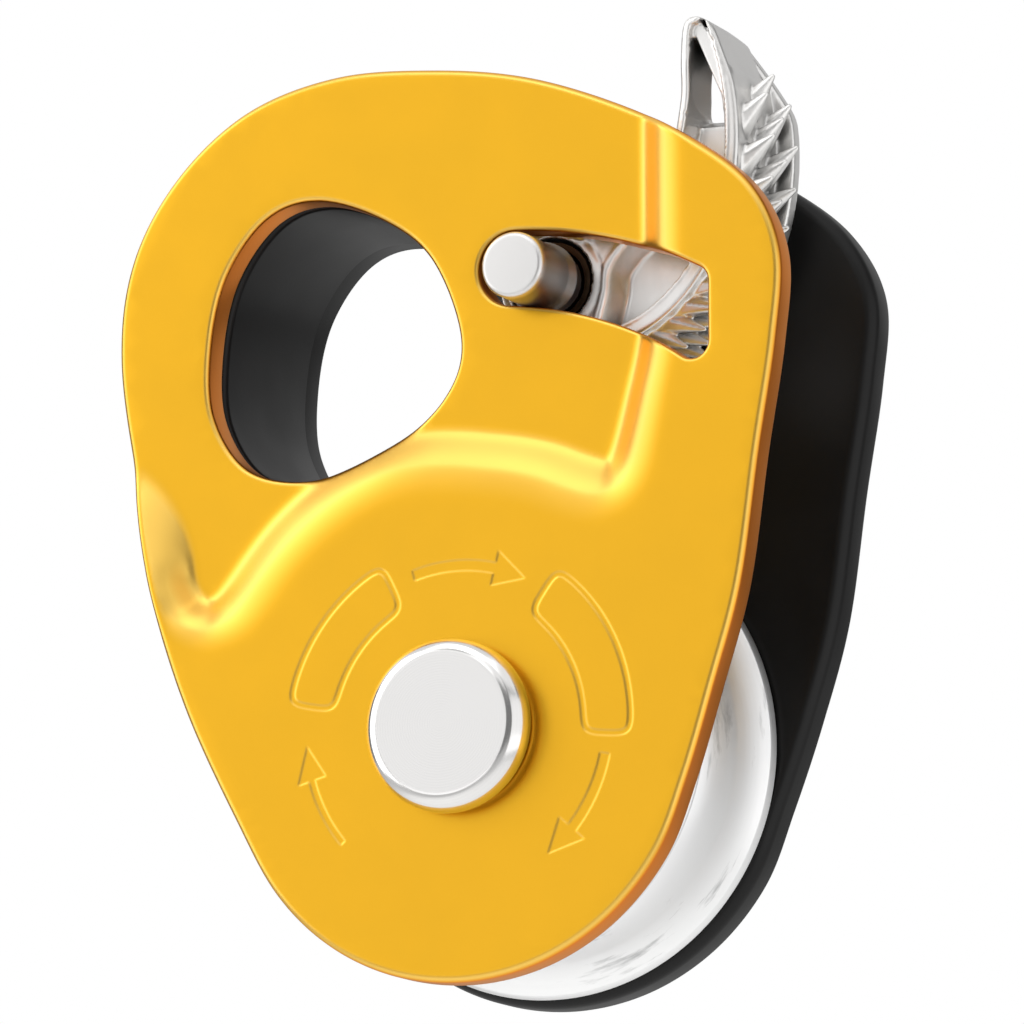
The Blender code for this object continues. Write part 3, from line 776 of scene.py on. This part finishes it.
def solid(name, points, faces):
    """A plain helper object in the frame, for Booleans and remeshing."""
    mesh = bpy.data.meshes.new(name)
    mesh.from_pydata(place(points).tolist(), [], [list(map(int, face)) for face in faces])
    return new_object(name, mesh)


def applied(helper):
    """The helper's mesh with its modifiers applied."""
    graph = bpy.context.evaluated_depsgraph_get()
    return bpy.data.meshes.new_from_object(helper.evaluated_get(graph))


def remove(*helpers):
    for helper in helpers:
        bpy.data.objects.remove(helper, do_unlink=True)


def cut_away(helper, *tools):
    for tool in tools:
        boolean = helper.modifiers.new("cut", "BOOLEAN")
        boolean.operation = "DIFFERENCE"
        boolean.solver = "EXACT"
        boolean.object = tool


def block(name, loop, front, rear):
    """A straight prism with the loop as its section."""
    loop = turned_way(np.asarray(loop, float), True)
    count = len(loop)
    points = np.vstack([
        np.column_stack([loop[:, 0], np.full(count, y), loop[:, 1]]) for y in (front, rear)
    ])
    faces = [list(range(count)), list(range(2 * count - 1, count - 1, -1))]
    faces += [[i, count + i, count + (i + 1) % count, (i + 1) % count] for i in range(count)]
    return solid(name, points, faces)


def rod(name, x, z, radius, front, rear, sides=128):
    return block(name, circle(radius, sides) + (x, z), front, rear)


def turned_about(points, degrees):
    """Plane points turned clockwise about the origin, as a positive turn about +Y does."""
    c, s = math.cos(math.radians(degrees)), math.sin(math.radians(degrees))
    return np.asarray(points) @ np.array([[c, -s], [s, c]])


def make_collar():
    """The deep lip round the attachment hole, cleared for the rope, the hub and the raised cam."""
    hole = turned_way(smooth_loop(HOLE, EDGE_SPACING), False)
    outer = moved_left(hole, 3.0)
    nowhere = np.zeros((0, 2))
    points, faces = rounded_plate(
        [outer, moved_left(hole, -0.01)], level(COLLAR_FRONT), level(FIXED_FRONT + 1.2),
        nowhere, nowhere, lambda k, is_front: 0.6 if is_front else 0.05,
    )
    collar = solid("collar", points, faces)
    pocket = np.vstack([
        on_circle(np.full(40, 5.0), np.linspace(90, 270, 40)), cam_rim(-66, 24, 3.9, 60),
    ])
    tools = [
        rod("rope_path", 0, 0, 23.7, -9, FIXED_FRONT, 192),
        rod("hub_room", CAM_X, CAM_Z, 5.95, -9, FIXED_FRONT),
        block("cam_pocket", turned_about(pocket, CAM_SWING) + (CAM_X, CAM_Z), -9, FIXED_FRONT),
    ]
    cut_away(collar, *tools)
    mesh = applied(collar)
    remove(collar, *tools)
    piece = new_object("collar_detail", mesh)
    mesh.shade_smooth()
    mesh.set_sharp_from_angle(angle=math.radians(40))
    finish_piece(piece, BLACK, "frame")


# Cam, drawn about its own axis and raised as at rest
RIB, PANEL = -4.4, -2.0  # fronts of the ribs and of the recessed panel
CAM_R0, CAM_GROWTH = 13.6, 0.0115  # rim radius straight out, and its growth for each degree
CAM_SWING = 104.0
CAM_SHEET = (-5, -8), (20, 24)
CAM_BORE_R = 3.7
S_RIB = ((9.6, 5.6), (8.2, 3.2), (6.9, 2.1), (5.7, 0.5), (5.45, -1.35), (4.85, -3.65), (4.2, -5.5))
SPINE = (
    (12.6, 21.3), (11.8, 20.6), (11.55, 17.5), (11.5, 14.0), (10.1, 8.6), (6.4, 5.0), (2.6, 3.9),
)
CAM_WINDOW = (
    (12.55, 13.2), (12.45, 15.0), (12.5, 17.0), (12.9, 18.7), (13.5, 18.3), (14.2, 16.6),
    (14.7, 14.6), (14.8, 13.1), (13.7, 12.9),
)
CHEEK_BACK = ((16.0, 17.3), (13.3, 21.0), (12.6, 20.7), (12.75, 17.0), (13.0, 13.0), (8.0, 4.0))
HUB_PROFILE = (
    (3.65, -4.35), (4.45, -4.35), (4.6, -4.2), (4.6, 5.3), (4.4, 5.5), (3.65, 5.5),
)
TOOTH_ROWS = (-2.4, 0.1, 2.6)
TOOTH_START, TOOTH_END, TOOTH_PITCH = -30.0, 42, 8.4
TOOTH_R, TOOTH_TIP, TOOTH_SIDES = 1.5, 0.12, 8


def cam_rim(start, end, extra=0.0, count=80):
    """Points along the cam's rim, which grows by the same share for each degree."""
    angles = np.linspace(start, end, count)
    return on_circle(CAM_R0 * np.exp(CAM_GROWTH * angles) + extra, angles)


def rim_gap(points):
    """Depth below the rim's curve."""
    angles = np.degrees(np.arctan2(points[:, 1], points[:, 0]))
    return CAM_R0 * np.exp(CAM_GROWTH * angles) - np.hypot(*points.T)


def cam_outline():
    rim = np.vstack([cam_rim(-44, 44), [(14.6, 20.1)], [(13.7, 21.0)]])
    spine = smooth_open(SPINE, 0.3)
    heel = on_circle(np.full(30, 4.4), np.linspace(118, 292, 30))
    return softened(evenly(np.vstack([rim, spine, heel]), 0.3), 3)


S_CURVE = smooth_open(S_RIB, 0.2)
SPINE_CURVE = smooth_open(SPINE, 0.2)


def right_of_s(points):
    """Signed distance to the right of the S-shaped rib's wall."""
    gap = distance_to(S_CURVE, points, closed=False)
    edge_x = np.interp(points[:, 1], S_CURVE[::-1, 1], S_CURVE[::-1, 0])
    return np.where(points[:, 0] > edge_x, gap, -gap)


def cam_front(points):
    """Front of the casting: rim, spine and hub stand proud of a recessed panel."""
    rim_width = np.interp(points[:, 1], (-5, 2, 14, 21), (1.9, 1.7, 1.25, 1.1))
    rim = rim_gap(points)
    spine = distance_to(SPINE_CURVE, points, closed=False)
    hub = right_of_s(points)
    recess = np.minimum(
        smooth_step(rim, rim_width, rim_width + 0.35),
        np.minimum(smooth_step(spine, 0.8, 1.15), smooth_step(hub, -0.55, 0.55)),
    )
    ridges = (
        0.16 * np.exp(-(((rim - rim_width + 0.15) / 0.2) ** 2))
        + 0.14 * np.exp(-(((hub + 0.85) / 0.18) ** 2))
        + 0.12 * np.exp(-(((spine - 0.6) / 0.2) ** 2))
    )
    upper = smooth_step(points[:, 1], 12.2, 12.9)
    deep = RIB + recess * (PANEL - RIB + 1.0 * upper) - ridges * (recess < 0.5)
    ring = np.abs(np.hypot(*points.T) - 4.55)
    line = 0.12 * np.exp(-((ring / 0.12) ** 2)) * (recess < 0.1)
    return deep + line


def cam_rear(points):
    thin = smooth_step(points[:, 1], 11.5, 13.0) * (1 - smooth_step(points[:, 0], 13.6, 14.6))
    return 3.4 - 2.9 * thin


def cone_tooth(angle, y):
    """A slender tooth with a blunt tip, on the rim and leaning upwards."""
    base = on_circle(CAM_R0 * math.exp(CAM_GROWTH * angle) - 1.1, angle)
    lean = math.radians(angle + 2.0)
    out = np.array([math.cos(lean), 0, math.sin(lean)])
    across = np.array([-math.sin(lean), 0, math.cos(lean)])
    root = np.array([base[0], y, base[1]])
    sides = TOOTH_SIDES
    along = np.array([0, 0.95, 0])
    ring = [
        root + TOOTH_R * (math.cos(a) * across + math.sin(a) * along)
        for a in np.radians(90 + np.arange(sides) * 360 / sides)
    ]
    tip = root + out * (4.35 - 0.6 * smooth_step(angle, 26, 42)) + across * 0.3
    top = [tip + TOOTH_TIP * (corner - root) for corner in ring]
    around = [(i, (i + 1) % sides) for i in range(sides)]
    faces = [list(range(sides))[::-1], list(range(sides, 2 * sides))]
    return ring + top, faces + [[i, j, sides + j, sides + i] for i, j in around]


def make_cam():
    """The casting: its solids are joined and rounded together by remeshing."""
    points, faces = [], []

    def add(new_points, new_faces):
        start = len(points)
        points.extend([tuple(p) for p in new_points])
        faces.extend([[start + i for i in face] for face in new_faces])

    add(*rounded_plate(
        [cam_outline(), smooth_loop(CAM_WINDOW, 0.25)], cam_front, cam_rear,
        honeycomb(*CAM_SHEET, 0.26), honeycomb(*CAM_SHEET, 0.8),
        lambda k, is_front: 0.35 if is_front else 0.2,
    ))
    rim_band = evenly(np.vstack([
        cam_rim(-44, 46, -0.02), [(12.9, 21.3)], [(12.6, 19.9)], cam_rim(44, -44, -1.7),
    ]), 0.3)
    flat = honeycomb(*CAM_SHEET, 1.5)
    add(*rounded_plate([rim_band], level(-3.9), level(4.4), flat, flat, lambda k, is_front: 0.1))
    cheek = softened(evenly(np.vstack([cam_rim(-14, 38, 1.85), CHEEK_BACK]), 0.3), 12)
    add(*rounded_plate([cheek], level(4.0), level(5.5), flat, flat, lambda k, is_front: 0.25))
    add(*turned(HUB_PROFILE, sides=96))
    for row, y in enumerate(TOOTH_ROWS):
        angle = TOOTH_START + 4.5 * (row % 2)
        while angle < TOOTH_END:
            add(*cone_tooth(angle, y))
            angle += TOOTH_PITCH
    shape = solid("cam_shape", np.array(points) + (CAM_X, 0, CAM_Z), faces)
    bore = rod("bore", CAM_X, CAM_Z, CAM_BORE_R, -9, 9)
    remesh = shape.modifiers.new("remesh", "REMESH")
    remesh.mode = "VOXEL"
    remesh.voxel_size = 0.00013
    remesh.adaptivity = 0.0
    cut_away(shape, bore)
    soften = shape.modifiers.new("soften", "SMOOTH")
    soften.factor, soften.iterations = 0.5, 3
    mesh = applied(shape)
    remove(shape, bore)
    piece = new_object("cam_detail", mesh)
    mesh.shade_smooth()
    finish_piece(piece, CAST, "cam", ["cam"])


# Axle, sheave and fittings
def make_axle():
    front, rear = node_depths("sheave_axle")
    head_r, head_t, edge, foot = 7.1, 2.3, 1.6, 0.3
    profile = [(0.0, front)]
    profile += fillet(head_r - edge, front + edge, edge, -90, 0, 10)
    profile += fillet(head_r - foot, front + head_t - foot, foot, 0, 90, 4)
    profile += [(4.0, front + head_t), (4.0, rear - 0.4), (3.6, rear), (0.0, rear)]
    points, faces = turned(profile)
    make_piece("sheave_axle_detail", points, faces, HEAD_STEEL, "frame",
               ["sheave_axle"], sharp=50)
    front, rear = node_depths("head_washer")
    profile = [(4.4, front), *fillet(6.5, front + 0.1, 0.1, -90, 0, 3),
               *fillet(6.5, rear - 0.1, 0.1, 0, 90, 3), (4.4, rear)]
    points, faces = turned(profile)
    make_piece("head_washer_detail", points, faces, HEAD_STEEL, "frame",
               ["head_washer"], sharp=50)


def make_sheave():
    half, flange, tread, seat = 8.0, 20.1, 12.5, 5.5
    lip = 0.45
    profile = fillet(flange - lip, -half + lip, lip, -90, 0, 6)
    profile += fillet(flange - lip, -half + 1.1 - 0.2, 0.2, 0, 60, 3)
    profile += [
        (tread + seat - seat * math.sin(a), -seat * math.cos(a))
        for a in np.linspace(0.06, math.pi - 0.06, 41)
    ]
    profile += fillet(flange - lip, half - 1.1 + 0.2, 0.2, -60, 0, 3)
    profile += fillet(flange - lip, half - lip, lip, 0, 90, 6)
    profile += [(9.5, half), (9.5, -3.3), (8.5, -3.3), (8.5, -half)]
    points, faces = turned(profile, sides=192)
    make_piece("sheave_detail", points, faces, ALLOY, "sheave",
               ["sheave"], sharp=40)


def make_button():
    front, rear = node_depths("cam_button")
    r, edge = 2.75, 0.5
    profile = [(0.0, front), *fillet(r - edge, front + edge, edge, -90, 0, 8),
               *fillet(r - 0.02, -6.9, 0.02, 0, 30, 1), (2.98, -6.3), (2.98, -5.7), (1.2, -5.7),
               (1.2, rear - 0.2), (1.0, rear), (0.0, rear)]
    points, faces = turned(profile, CAM_X, CAM_Z, 96)
    make_piece("cam_button_detail", points, faces, BUTTON_STEEL, "button",
               ["cam_button"], sharp=50)


CARRIED = {
    "axle_end_ring": HEAD_STEEL, "front_spacer": HEAD_STEEL, "rear_spacer": HEAD_STEEL,
    "bearing_inner_ring": HEAD_STEEL, "bearing_outer_ring": HEAD_STEEL,
    "plate_bush": BRONZE, "cam_bush": BRONZE, "front_seal": RUBBER, "rear_seal": RUBBER,
    "bearing_cage": POLYAMIDE, "bearing_clip": SPRING, "cam_spring": SPRING,
    "button_spring": SPRING, "cam_axle": PIN_STEEL, "cam_spacer": PIN_STEEL,
}
CARRIED.update({f"bearing_ball_{i}": HEAD_STEEL for i in range(1, 9)})


def dress_carried_nodes():
    for name, material in CARRIED.items():
        node = frame["nodes"][name]
        node.data.materials.clear()
        node.data.materials.append(material)


# Studio
CAMERA_AZIMUTH, CAMERA_ELEVATION, CAMERA_DISTANCE = 24.13, -10.05, 620.0
AIM_RIGHT, AIM_UP = -0.2, 19.24
LENS = 265.9
FLOOR_Z, FLOOR_HALF = -0.55, 4.0  # metres


def direction(azimuth, elevation):
    """From the pulley towards a place at this azimuth, rightwards from the front, and elevation."""
    a, e = math.radians(azimuth), math.radians(elevation)
    return Vector((math.sin(a) * math.cos(e), -math.cos(a) * math.cos(e), math.sin(e)))


def facing(azimuth, elevation):
    """Rotation of a camera or light that stands there and looks at the pulley."""
    back = direction(azimuth, elevation)
    right = Vector((math.cos(math.radians(azimuth)), math.sin(math.radians(azimuth)), 0.0))
    up = back.cross(right)
    return Matrix((right, up, back)).transposed()


def make_camera():
    data = bpy.data.cameras.new("camera")
    data.lens = LENS
    data.sensor_width = 36.0
    data.clip_start, data.clip_end = 0.01, 20.0
    camera = new_object("camera", data)
    turn = facing(CAMERA_AZIMUTH, CAMERA_ELEVATION)
    right, up, back = turn.transposed()
    aim = Vector(SHEAVE_AXIS) + (right * AIM_RIGHT + up * AIM_UP) * MM
    camera.matrix_world = Matrix.Translation(aim + back * CAMERA_DISTANCE * MM) @ turn.to_4x4()
    bpy.context.scene.camera = camera


def softbox(name, azimuth, elevation, distance, width, height, radiance):
    data = bpy.data.lights.new(name, "AREA")
    data.shape = "RECTANGLE"
    data.size, data.size_y = width, height
    data.energy = radiance * math.pi * width * height
    turn = facing(azimuth, elevation).to_4x4()
    light = new_object(name, data)
    light.matrix_world = Matrix.Translation(direction(azimuth, elevation) * distance) @ turn


def make_lights():
    """Softboxes at azimuth, elevation and distance, with their width, height and radiance."""
    softbox("front_box", -19, 10, 0.9, 0.66, 0.9, 0.80)
    softbox("fill_box", 8, 40, 0.8, 0.45, 0.42, 0.8)
    softbox("left_box", -61, 14, 0.8, 0.60, 0.9, 1.45)
    softbox("top_box", -24, 58, 0.8, 0.5, 0.40, 1.0)
    softbox("ceiling", -90, 70, 0.65, 1.3, 1.3, 0.62)
    softbox("right_box", 70, 2, 0.9, 1.3, 0.9, 0.85)
    softbox("upper_right_box", 60, 50, 0.8, 0.7, 0.5, 0.75)
    softbox("rear_box", 168, 22, 1.0, 1.0, 0.6, 0.38)


def make_world():
    """White where the camera sees it, and dim as a light."""
    world = bpy.data.worlds.new("studio")
    bpy.context.scene.world = world
    world.use_nodes = True
    tree = world.node_tree
    background = tree.nodes["Background"]
    background.inputs["Color"].default_value = (1.0, 1.0, 1.0, 1.0)
    path = tree.nodes.new("ShaderNodeLightPath")
    strength = tree.nodes.new("ShaderNodeMapRange")
    strength.inputs["To Min"].default_value = 0.19
    strength.inputs["To Max"].default_value = 1.0
    tree.links.new(path.outputs["Is Camera Ray"], strength.inputs["Value"])
    tree.links.new(strength.outputs["Result"], background.inputs["Strength"])


def make_floor():
    mesh = bpy.data.meshes.new("floor")
    corners = [
        (x * FLOOR_HALF, y * FLOOR_HALF, FLOOR_Z) for x, y in ((-1, -1), (1, -1), (1, 1), (-1, 1))
    ]
    mesh.from_pydata(corners, [], [(0, 1, 2, 3)])
    floor = new_object("floor", mesh)
    paper = Surface("floor_paper", (0.86, 0.86, 0.85), 0.9, 0.0, Emission_Strength=0.35)
    paper.shader.inputs["Emission Color"].default_value = (1.0, 1.0, 1.0, 1.0)
    fibre = paper.noise((300.0,) * 3)
    paper.shade(fibre, 0.985, 1.01)
    mesh.materials.append(paper.material)


make_moving_plate()
make_fixed_plate()
make_collar()
make_cam()
make_axle()
make_sheave()
make_button()
dress_carried_nodes()
make_camera()
make_lights()
make_world()
make_floor()
bpy.context.scene.view_settings.view_transform = "Standard"
